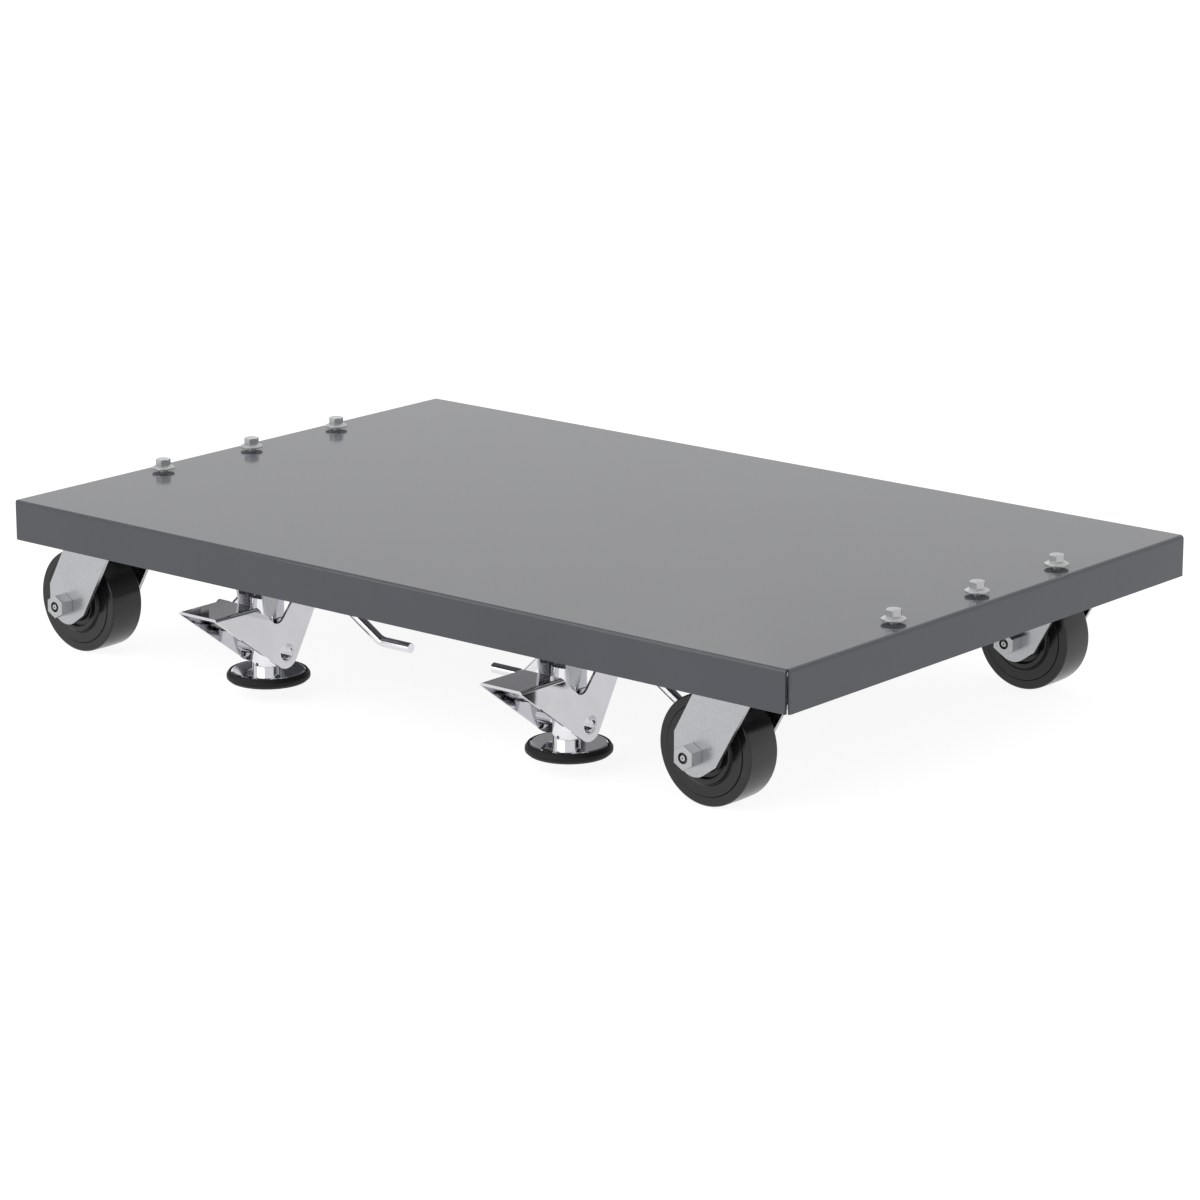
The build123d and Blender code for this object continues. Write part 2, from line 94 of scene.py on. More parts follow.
# ---------------------------------------------------------------- shader maths
class Value:
    """A number flowing through a node tree, written with ordinary operators."""

    def __init__(self, graph: "Graph", socket: bpy.types.NodeSocket) -> None:
        """Wraps an output socket of a graph."""
        self.graph = graph
        self.socket = socket

    def _math(self, operation: str, *terms: "Value | float") -> "Value":
        """Adds one Math node.

        Args:
            operation: The Math node's operation.
            terms: Its inputs in order.

        Returns:
            The node's result.
        """
        node = self.graph.node("ShaderNodeMath", {"operation": operation}, dict(enumerate(terms)))
        return Value(self.graph, node.outputs[0])

    def __add__(self, other: "Value | float") -> "Value":
        """Sum."""
        return self._math("ADD", self, other)

    def __radd__(self, other: float) -> "Value":
        """Sum with a plain number first."""
        return self._math("ADD", other, self)

    def __sub__(self, other: "Value | float") -> "Value":
        """Difference."""
        return self._math("SUBTRACT", self, other)

    def __rsub__(self, other: float) -> "Value":
        """Difference from a plain number."""
        return self._math("SUBTRACT", other, self)

    def __mul__(self, other: "Value | float") -> "Value":
        """Product."""
        return self._math("MULTIPLY", self, other)

    def __rmul__(self, other: float) -> "Value":
        """Product with a plain number first."""
        return self._math("MULTIPLY", other, self)

    def __pow__(self, other: float) -> "Value":
        """Power."""
        return self._math("POWER", self, other)

    def size(self) -> "Value":
        """Distance from zero."""
        return self._math("ABSOLUTE", self)

    def wave(self) -> "Value":
        """Sine."""
        return self._math("SINE", self)

    def above(self, other: "Value | float") -> "Value":
        """The larger of two."""
        return self._math("MAXIMUM", self, other)

    def below(self, other: "Value | float") -> "Value":
        """The smaller of two."""
        return self._math("MINIMUM", self, other)

    def step(self, start: float, end: float) -> "Value":
        """Smooth rise from 0 at one value to 1 at another.

        Args:
            start: Where the result is 0.
            end: Where it is 1, above or below start.

        Returns:
            The smooth rise.
        """
        node = self.graph.node(
            "ShaderNodeMapRange",
            {"interpolation_type": "SMOOTHSTEP"},
            {"Value": self, "From Min": start, "From Max": end, "To Min": 0.0, "To Max": 1.0},
        )
        return Value(self.graph, node.outputs["Result"])


class Graph:
    """The node tree of one material, with its Principled shader already in place."""

    def __init__(self, name: str) -> None:
        """Starts a material of that name."""
        self.material = bpy.data.materials.new(name)
        self.material.use_nodes = True
        self.tree = self.material.node_tree
        self.tree.nodes.clear()
        self.shader = self.node("ShaderNodeBsdfPrincipled")
        output = self.node("ShaderNodeOutputMaterial")
        self.tree.links.new(self.shader.outputs[0], output.inputs["Surface"])

    def node(self, kind: str, settings: dict | None = None, inputs: dict | None = None) -> bpy.types.Node:
        """Adds one node.

        Args:
            kind: The node's type name.
            settings: Properties set before its sockets, such as an operation.
            inputs: Socket name or number to a Value, an output socket or a constant.

        Returns:
            The new node.
        """
        node = self.tree.nodes.new(kind)
        for key, value in (settings or {}).items():
            setattr(node, key, value)
        for key, value in (inputs or {}).items():
            self.feed(node.inputs[key], value)
        return node

    def feed(self, socket: bpy.types.NodeSocket, value: object) -> None:
        """Links a Value or an output to a socket, or sets the socket's own constant.

        Args:
            socket: The input socket.
            value: A Value, an output socket or a constant.
        """
        source = value.socket if isinstance(value, Value) else value
        if isinstance(source, bpy.types.NodeSocket):
            self.tree.links.new(source, socket)
        else:
            socket.default_value = source

    def place(self, centre: Sequence[float] = (0.0, 0.0, 0.0)) -> bpy.types.NodeSocket:
        """Object coordinates measured from a centre on the piece.

        Args:
            centre: The point that reads as zero.

        Returns:
            The vector's socket.
        """
        coordinates = self.node("ShaderNodeTexCoord").outputs["Object"]
        offset = self.node("ShaderNodeVectorMath", {"operation": "SUBTRACT"}, {0: coordinates, 1: centre})
        return offset.outputs[0]

    def axes(self, vector: bpy.types.NodeSocket) -> tuple[Value, Value, Value]:
        """The three components of a vector."""
        node = self.node("ShaderNodeSeparateXYZ", inputs={0: vector})
        return tuple(Value(self, socket) for socket in node.outputs)

    def noise(self, vector: bpy.types.NodeSocket, scale: float, detail: float = 3.0,
              roughness: float = 0.55) -> Value:
        """Fractal noise from 0 to 1.

        Args:
            vector: Where it is read.
            scale: Features per metre.
            detail: Octaves.
            roughness: Strength of the finer octaves.

        Returns:
            The noise.
        """
        node = self.node(
            "ShaderNodeTexNoise", {"noise_dimensions": "3D"},
            {"Vector": vector, "Scale": scale, "Detail": detail, "Roughness": roughness},
        )
        return Value(self, node.outputs["Fac"])

    def cells(self, vector: bpy.types.NodeSocket, scale: float) -> Value:
        """A random grey for each crystal-like cell.

        Args:
            vector: Where it is read.
            scale: Cells per metre.

        Returns:
            The grey, from 0 to 1.
        """
        node = self.node("ShaderNodeTexVoronoi", {"feature": "F1"}, {"Vector": vector, "Scale": scale})
        grey = self.node("ShaderNodeSeparateColor", inputs={0: node.outputs["Color"]})
        return Value(self, grey.outputs[0])

    def blend(self, factor: Value, first: object, second: object) -> bpy.types.NodeSocket:
        """A colour between two.

        Args:
            factor: 0 for the first colour, 1 for the second.
            first: A colour or a colour socket.
            second: A colour or a colour socket.

        Returns:
            The blended colour's socket.
        """
        node = self.node("ShaderNodeMix", {"data_type": "RGBA", "clamp_factor": True})
        self.feed(node.inputs[0], factor)
        self.feed(node.inputs[6], first)
        self.feed(node.inputs[7], second)
        return node.outputs[2]

    def relief(self, height: Value, distance: float) -> None:
        """Raises the surface's shading by a height map.

        Args:
            height: The height, in units of the distance.
            distance: Size of one unit of height, in metres.
        """
        bump = self.node("ShaderNodeBump", inputs={"Height": height, "Distance": distance, "Strength": 1.0})
        self.feed(self.shader.inputs["Normal"], bump.outputs[0])


def rgba(colour: Colour) -> tuple[float, float, float, float]:
    """A colour with full alpha."""
    return (*colour, 1.0)


def tint(colour: Colour, share: float) -> tuple[float, float, float, float]:
    """A colour made lighter or darker by a share."""
    return rgba(tuple(channel * share for channel in colour))


# ---------------------------------------------------------------- finishes
@dataclass(frozen=True)
class Finish:
    """What every finish has: a name, a record slot, a colour and a roughness."""

    name: str
    slot: str
    colour: Colour
    roughness: float

    def build(self) -> bpy.types.Material:
        """Makes the material.

        Returns:
            The new material.
        """
        graph = Graph(self.name)
        graph.feed(graph.shader.inputs["Base Color"], rgba(self.colour))
        graph.feed(graph.shader.inputs["Roughness"], self.roughness)
        self.dress(graph)
        return graph.material

    def dress(self, graph: Graph) -> None:
        """Adds what is particular to the finish.

        Args:
            graph: The material's node tree.
        """
        raise NotImplementedError


@dataclass(frozen=True)
class PowderCoat(Finish):
    """Smooth powder coat with faint orange peel, handling marks and worn folds."""

    half_length: float
    half_width: float
    peel: float = 0.000012
    rubbed_across: Point = (0.0022, 0.0004)
    rubbed_down: Point = (0.0030, 0.0008)
    scuff_stretch: Colour = (9.0, 260.0, 40.0)
    gloss: float = 0.42

    def dress(self, graph: Graph) -> None:
        """Adds peel, cloudiness, scuffs and the rubbed edges of the folds.

        Args:
            graph: The material's node tree.
        """
        where = graph.place()
        x, y, z = graph.axes(where)
        cloud = graph.noise(where, 5.0, 4.0)
        fine = graph.noise(where, 320.0, 2.0)
        stretched = graph.node("ShaderNodeMapping", inputs={"Vector": where, "Scale": self.scuff_stretch})
        scuffs = graph.noise(stretched.outputs[0], 1.0, 5.0, 0.7).step(0.66, 0.78)
        across = (self.half_length - x.size()).below(self.half_width - y.size()).size()
        fold = across.step(*self.rubbed_across) * z.size().step(*self.rubbed_down)
        chips = fold * graph.noise(where, 190.0, 3.0).step(0.56, 0.66)
        shade = graph.blend(cloud.step(0.35, 0.7), tint(self.colour, 0.96), tint(self.colour, 1.04))
        scuffed = graph.blend(scuffs * 0.10, shade, tint(self.colour, 1.5))
        bare = graph.blend(chips * 0.35, scuffed, tint(self.colour, 1.9))
        graph.feed(graph.shader.inputs["Base Color"], bare)
        rough = self.roughness + 0.05 * (cloud - 0.5) + 0.08 * scuffs + 0.05 * (fine - 0.5)
        graph.feed(graph.shader.inputs["Roughness"], rough)
        graph.relief(fine * 0.8 + graph.noise(where, 90.0, 2.0) * 0.6, self.peel)
        graph.feed(graph.shader.inputs["Specular IOR Level"], self.gloss)


@dataclass(frozen=True)
class ZincPlate(Finish):
    """Zinc plating with a fine crystalline mottle."""

    grain: float = 900.0
    contrast: float = 0.05
    speck_height: float = 0.0000025

    def dress(self, graph: Graph) -> None:
        """Adds the mottle to colour, gloss and relief.

        Args:
            graph: The material's node tree.
        """
        where = graph.place()
        crystals = graph.cells(where, self.grain)
        cloud = graph.noise(where, 38.0, 4.0)
        speck = graph.noise(where, 1500.0, 2.0)
        mottle = crystals * 0.5 + cloud * 0.5
        dark, light = tint(self.colour, 1 - self.contrast), tint(self.colour, 1 + self.contrast)
        graph.feed(graph.shader.inputs["Base Color"], graph.blend(mottle.step(0.2, 0.8), dark, light))
        graph.feed(graph.shader.inputs["Metallic"], 1.0)
        graph.feed(graph.shader.inputs["Roughness"], self.roughness + 0.10 * (mottle - 0.5) + 0.05 * speck)
        graph.relief(speck * 0.6 + crystals * 0.4, self.speck_height)


@dataclass(frozen=True)
class ShadedRecessZinc(ZincPlate):
    """Zinc axle with painted shade: the floor of the fitting recess and the fitting's mouth are painted
    near-black.
    """

    centre: tuple[float, float, float] = (0.0, 0.0, 0.0)
    ring: tuple[float, float] = (2.75 * MM, 4.9 * MM)
    dot: float = 0.85 * MM
    beyond: float = 44.0 * MM
    blur: float = 0.12 * MM
    # Near-black colour of the painted shade on the recess floor and in the fitting's mouth.
    recess_shade: Colour = (0.02, 0.02, 0.021)

    def dress(self, graph: Graph) -> None:
        """Adds the plating, then a painted-shade ring on the recess floor and painted shade in the mouth of
        the fitting.

        Args:
            graph: The material's node tree.
        """
        super().dress(graph)
        x, y, z = graph.axes(graph.place(self.centre))
        reach = (x * x + z * z) ** 0.5
        inner, outer = self.ring
        inside = reach.step(inner - self.blur, inner) * reach.step(outer + self.blur, outer)
        mouth = reach.step(self.dot, self.dot - self.blur)
        # Painted shade: the recess floor around the fitting and the fitting's mouth, at the head end, turn
        # near-black and lose their metal.
        recess_shade = inside.above(mouth) * y.step(-self.beyond, -self.beyond - MM)
        plating = graph.shader.inputs["Base Color"].links[0].from_socket
        graph.feed(graph.shader.inputs["Base Color"], graph.blend(recess_shade, plating, rgba(self.recess_shade)))
        graph.feed(graph.shader.inputs["Metallic"], 1.0 - recess_shade)


@dataclass(frozen=True)
class BrightPlate(Finish):
    """Bright nickel or chrome plating with faint polishing haze."""

    haze: float = 0.05
    line_stretch: Colour = (160.0, 160.0, 2400.0)

    def dress(self, graph: Graph) -> None:
        """Adds the haze and a trace of polishing lines.

        Args:
            graph: The material's node tree.
        """
        where = graph.place()
        cloud = graph.noise(where, 60.0, 4.0)
        stretched = graph.node("ShaderNodeMapping", inputs={"Vector": where, "Scale": self.line_stretch})
        lines = graph.noise(stretched.outputs[0], 1.0, 2.0)
        tone = graph.blend(cloud.step(0.3, 0.7), tint(self.colour, 0.97), tint(self.colour, 1.02))
        graph.feed(graph.shader.inputs["Base Color"], tone)
        graph.feed(graph.shader.inputs["Metallic"], 1.0)
        rough = self.roughness + self.haze * (cloud - 0.4) + 0.03 * lines
        graph.feed(graph.shader.inputs["Roughness"], rough)
        graph.relief(lines, 0.000003)


@dataclass(frozen=True)
class MouldedWheel(Finish):
    """Hard moulded black rubber, turned on the tread and ringed on its faces."""

    centre: tuple[float, float, float]
    radius: float
    shoulder: Point = (2.2 * MM, 1.0 * MM)
    face_rings: float = 5200.0
    tread_lines: float = 5600.0
    gloss: float = 0.4

    def dress(self, graph: Graph) -> None:
        """Adds turning lines about the axle, bloom on the faces and scuffs on the tread.

        Args:
            graph: The material's node tree.
        """
        where = graph.place(self.centre)
        x, y, z = graph.axes(where)
        reach = (x * x + z * z) ** 0.5
        tread = reach.step(self.radius - self.shoulder[0], self.radius - self.shoulder[1])
        bloom = graph.noise(where, 55.0, 4.0)
        speck = graph.noise(where, 700.0, 3.0)
        grit = graph.noise(where, 240.0, 3.0).step(0.5, 0.72)
        rings = (reach * self.face_rings).wave() * 0.25
        turned = (y * self.tread_lines + bloom * 2.0).wave() * 0.5
        base = graph.blend(bloom.step(0.35, 0.75), tint(self.colour, 0.85), tint(self.colour, 1.25))
        worn = graph.blend(tread * grit * 0.4, base, tint(self.colour, 2.0))
        graph.feed(graph.shader.inputs["Base Color"], worn)
        rough = self.roughness + 0.08 * (bloom - 0.5) + 0.03 * tread + 0.04 * speck
        graph.feed(graph.shader.inputs["Roughness"], rough)
        graph.relief((1 - tread) * rings + tread * turned + speck * 0.4, 0.000004)
        graph.feed(graph.shader.inputs["Specular IOR Level"], self.gloss)


@dataclass(frozen=True)
class FootRubber(Finish):
    """Soft rubber with a fine moulded grain and a little floor dust."""

    dusty_below: float
    dust_height: float = 4.0 * MM
    dust: Colour = (0.10, 0.098, 0.095)
    gloss: float = 0.22

    def dress(self, graph: Graph) -> None:
        """Adds grain and dust that thickens towards the floor.

        Args:
            graph: The material's node tree.
        """
        where = graph.place()
        _, _, z = graph.axes(where)
        grain = graph.noise(where, 900.0, 3.0)
        cloud = graph.noise(where, 80.0, 4.0)
        dust = z.step(self.dusty_below + self.dust_height, self.dusty_below) * cloud.step(0.4, 0.7)
        tone = graph.blend(dust * 0.2, rgba(self.colour), rgba(self.dust))
        graph.feed(graph.shader.inputs["Base Color"], tone)
        graph.feed(graph.shader.inputs["Roughness"], self.roughness + 0.12 * (cloud - 0.5) + 0.08 * dust)
        graph.relief(grain, 0.000016)
        graph.feed(graph.shader.inputs["Specular IOR Level"], self.gloss)


@dataclass(frozen=True)
class PlainMetal(Finish):
    """Bare metal of the small inner pieces, lightly oiled."""

    def dress(self, graph: Graph) -> None:
        """Adds an uneven oil film.

        Args:
            graph: The material's node tree.
        """
        where = graph.place()
        film = graph.noise(where, 260.0, 4.0)
        tone = graph.blend(film.step(0.3, 0.7), tint(self.colour, 0.82), tint(self.colour, 1.06))
        graph.feed(graph.shader.inputs["Base Color"], tone)
        graph.feed(graph.shader.inputs["Metallic"], 1.0)
        graph.feed(graph.shader.inputs["Roughness"], self.roughness + 0.12 * (film - 0.5))
        graph.relief(film, 0.000008)


@dataclass(frozen=True)
class PaleFloor(Finish):
    """Plain pale studio floor, lit softly from within like a light table."""

    glow: float = 0.90

    def dress(self, graph: Graph) -> None:
        """Adds nothing that shows but a trace of unevenness.

        Args:
            graph: The material's node tree.
        """
        cloud = graph.noise(graph.place(), 0.8, 2.0)
        graph.feed(graph.shader.inputs["Roughness"], self.roughness + 0.05 * (cloud - 0.5))
        graph.feed(graph.shader.inputs["Specular IOR Level"], 0.0)
        graph.feed(graph.shader.inputs["Emission Color"], (1.0, 1.0, 1.0, 1.0))
        graph.feed(graph.shader.inputs["Emission Strength"], self.glow)


class Palette:
    """The finishes of the dolly, each made once."""

    def __init__(self) -> None:
        """Starts with nothing made."""
        self.made: dict[str, bpy.types.Material] = {}

    def get(self, finish: Finish) -> bpy.types.Material:
        """The finish's material, made on first use.

        Args:
            finish: The finish.

        Returns:
            Its material.
        """
        if finish.name not in self.made:
            self.made[finish.name] = finish.build()
        return self.made[finish.name]


DECK_LOW, DECK_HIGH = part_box("deck_tray")
POWDER_GREY = PowderCoat("powder_grey", "deck_paint", (0.0480, 0.0508, 0.0595), 0.11,
                         half_length=DECK_HIGH.x, half_width=DECK_HIGH.y)
ZINC_SHEET = ZincPlate("zinc_sheet", "zinc_sheet", (0.420, 0.425, 0.440), 0.24)
ZINC_BOLT = ZincPlate("zinc_bolt", "zinc_hardware", (0.425, 0.43, 0.44), 0.28, grain=1500.0)
BRIGHT_STEEL = BrightPlate("bright_steel", "bright_chrome", (0.76, 0.76, 0.785), 0.08)
SATIN_BRIGHT = BrightPlate("satin_bright", "bright_chrome", (0.60, 0.60, 0.625), 0.045, haze=0.03)
BALL_STEEL = PlainMetal("ball_steel", "bearing_steel", (0.58, 0.58, 0.59), 0.20)
SPRING_WIRE = PlainMetal("spring_wire", "spring_steel", (0.30, 0.30, 0.31), 0.35)
BUSH_BRONZE = PlainMetal("bush_bronze", "bronze", (0.60, 0.42, 0.22), 0.38)


# ---------------------------------------------------------------- modelling helpers
class Axis(Enum):
    """Direction that a turned piece's axis has."""

    X = Matrix.Rotation(radians(90), 4, "Y")
    Y = Matrix.Rotation(radians(-90), 4, "X")
    Z = Matrix.Identity(4)


def arc_corner(before: Point, corner: Point, after: Point, radius: float) -> list[Point]:
    """Points of a round corner.

    Args:
        before: The outline's point before the corner.
        corner: The sharp corner.
        after: The outline's point after it.
        radius: Radius of the rounding.

    Returns:
        Points along the arc, or the corner itself where the radius is zero.
    """
    if radius <= 0:
        return [corner]
    here = Vector(corner)
    back, ahead = (Vector(before) - here), (Vector(after) - here)
    half = back.angle(ahead) / 2
    reach = min(radius / tan(half), 0.49 * back.length, 0.49 * ahead.length)
    start, end = here + back.normalized() * reach, here + ahead.normalized() * reach
    middle = here + (back.normalized() + ahead.normalized()).normalized() * (reach / cos(half))
    spread = pi - 2 * half
    steps = max(2, round(degrees(spread) / ARC_STEP))
    side = (start - middle).normalized()
    turn = 1 if side.x * (end - middle).y - side.y * (end - middle).x > 0 else -1
    size = (start - middle).length
    points = []
    for index in range(steps + 1):
        angle = turn * spread * index / steps
        across = Matrix.Rotation(angle, 2) @ side
        points.append(tuple(middle + across * size))
    return points


def rounded(corners: Sequence[tuple[float, float, float]]) -> list[Point]:
    """A closed outline with round corners.

    Args:
        corners: Each corner's two coordinates and its radius.

    Returns:
        The outline's points in order.
    """
    points: list[Point] = []
    for index, (a, b, radius) in enumerate(corners):
        before = corners[index - 1][:2]
        after = corners[(index + 1) % len(corners)][:2]
        points += arc_corner(before, (a, b), after, radius)
    return points


def lathe(outline: Sequence[Point], axis: Axis, centre: Sequence[float],
          steps: int = 96) -> bmesh.types.BMesh:
    """A turned shape.

    Args:
        outline: Closed outline of radius and station along the axis.
        axis: The direction of the axis.
        centre: Where station zero lies.
        steps: Divisions of the full turn.

    Returns:
        The turned mesh in place.
    """
    mesh = bmesh.new()
    ring = [mesh.verts.new((radius, 0.0, station)) for radius, station in outline]
    sides = [mesh.edges.new((ring[i - 1], ring[i])) for i in range(len(ring))]
    bmesh.ops.spin(mesh, geom=ring + sides, cent=(0, 0, 0), axis=(0, 0, 1), angle=2 * pi,
                   steps=steps, use_merge=True, use_duplicate=False)
    bmesh.ops.remove_doubles(mesh, verts=mesh.verts, dist=MERGE)
    bmesh.ops.dissolve_degenerate(mesh, edges=mesh.edges, dist=MERGE / 10)
    bmesh.ops.transform(mesh, matrix=Matrix.Translation(centre) @ axis.value, verts=mesh.verts)
    bmesh.ops.recalc_face_normals(mesh, faces=mesh.faces)
    return mesh


def soften_rims(mesh: bmesh.types.BMesh, width: float, angle: float = 35.0, segments: int = 2) -> None:
    """Breaks every sharp edge of a mesh with a small bevel.

    Args:
        mesh: The mesh, changed in place.
        width: Width of the bevel.
        angle: Edges sharper than this many degrees are broken.
        segments: Divisions of each bevel.
    """
    sharp = [e for e in mesh.edges if len(e.link_faces) == 2 and e.calc_face_angle() > radians(angle)]
    bmesh.ops.bevel(mesh, geom=sharp, offset=width, segments=segments, profile=0.5,
                    affect="EDGES", clamp_overlap=True, material=-1)


def hex_piece(flats: float, low: float, high: float, axis: Axis, centre: Sequence[float],
              chamfers: tuple[bool, bool] = (False, True), turn: float = 0.0) -> bmesh.types.BMesh:
    """A hexagonal head or nut, its corners turned off at a chamfered end.

    Args:
        flats: Size across the flats.
        low: Lower station along the axis.
        high: Upper station along the axis.
        axis: The direction of the axis.
        centre: Where station zero lies.
        chamfers: Whether the lower and the upper end are chamfered.
        turn: Rotation about the axis, in degrees.

    Returns:
        The hexagonal mesh in place.
    """
    corner = flats / sqrt(3) + 1e-5
    face = flats * HEX_FACE
    drop = (corner - face) * tan(radians(HEX_CHAMFER))
    low_rim = [(face, low), (corner, low + drop)] if chamfers[0] else [(corner, low)]
    high_rim = [(corner, high - drop), (face, high)] if chamfers[1] else [(corner, high)]
    mesh = lathe([(0, low), *low_rim, *high_rim, (0, high)], Axis.Z, (0, 0, 0), 60)
    for side in range(6):
        angle = radians(turn + 60 * side)
        out = Vector((cos(angle), sin(angle), 0))
        cut = bmesh.ops.bisect_plane(mesh, geom=mesh.verts[:] + mesh.edges[:] + mesh.faces[:],
                                     plane_co=out * flats / 2, plane_no=out, clear_outer=True)
        rim = [e for e in cut["geom_cut"] if isinstance(e, bmesh.types.BMEdge)]
        bmesh.ops.contextual_create(mesh, geom=rim)
    soften_rims(mesh, HEX_RIM, 40.0)
    bmesh.ops.transform(mesh, matrix=Matrix.Translation(centre) @ axis.value, verts=mesh.verts)
    bmesh.ops.recalc_face_normals(mesh, faces=mesh.faces)
    return mesh


@dataclass(frozen=True)
class Wall:
    """Thickness and broken edges of a piece that is made as a bare sheet."""

    thickness: float
    edge: float

    def give(self, piece: bpy.types.Object) -> None:
        """Adds the thickness inwards and rounds the cut edges.

        Args:
            piece: The object made as a bare surface.
        """
        wall = piece.modifiers.new("sheet", "SOLIDIFY")
        wall.thickness = self.thickness
        wall.offset = -1.0
        wall.use_even_offset = True
        edge = piece.modifiers.new("cut_edges", "BEVEL")
        edge.width = self.edge
        edge.segments = 2
        edge.limit_method = "ANGLE"
        edge.angle_limit = radians(60)


@dataclass
class Bench:
    """Turns finished meshes into named pieces that ride, replace and wear a finish."""

    palette: Palette = field(default_factory=Palette)

    def joined(self, meshes: Iterable[bmesh.types.BMesh]) -> bmesh.types.BMesh:
        """One mesh that holds several.

        Args:
            meshes: The meshes, which are used up.

        Returns:
            The joined mesh.
        """
        whole = bmesh.new()
        for mesh in meshes:
            data = bpy.data.meshes.new("joining")
            mesh.to_mesh(data)
            mesh.free()
            whole.from_mesh(data)
            bpy.data.meshes.remove(data)
        return whole

    def piece(self, name: str, mesh: bmesh.types.BMesh, body: str, finish: Finish,
              replaces: Sequence[str] = (), smooth_below: float = 48.0,
              wall: Wall | None = None) -> bpy.types.Object:
        """Makes one visible piece.

        Args:
            name: The piece's name.
            mesh: Its finished mesh, which is used up.
            body: The body that it rides on.
            finish: Its finish.
            replaces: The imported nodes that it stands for.
            smooth_below: Edges flatter than this many degrees are shaded smooth.
            wall: Thickness for a piece made as a bare surface.

        Returns:
            The new object.
        """
        data = bpy.data.meshes.new(name)
        for face in mesh.faces:
            face.smooth = True
        for edge in mesh.edges:
            bent = len(edge.link_faces) == 2 and edge.calc_face_angle(0.0) > radians(smooth_below)
            edge.smooth = not bent
        mesh.to_mesh(data)
        mesh.free()
        piece = bpy.data.objects.new(name, data)
        bpy.context.scene.collection.objects.link(piece)
        data.materials.append(self.palette.get(finish))
        if wall:
            wall.give(piece)
        shading = piece.modifiers.new("flat_faces", "WEIGHTED_NORMAL")
        shading.keep_sharp = True
        shading.weight = 100
        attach(piece, body)
        if replaces:
            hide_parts(*replaces)
        LOG.info("%s: %d faces on %s", name, len(data.polygons), body)
        return piece

    def dressed_copy(self, node: str, finish: Finish, rim: float = PLATE_RIM) -> bpy.types.Object:
        """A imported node's own shape with its loose triangles merged and its edges broken.

        Args:
            node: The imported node.
            finish: Its finish.
            rim: Width of the broken edges.

        Returns:
            The piece that replaces the node.
        """
        source = frame["nodes"][node]
        mesh = bmesh.new()
        mesh.from_mesh(source.data)
        bmesh.ops.remove_doubles(mesh, verts=mesh.verts, dist=2 * MERGE)
        bmesh.ops.dissolve_limit(mesh, angle_limit=radians(1.0), verts=mesh.verts, edges=mesh.edges)
        if rim:
            soften_rims(mesh, rim, 50.0)
        return self.piece(f"{node}_look", mesh, source["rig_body"], finish, [node])


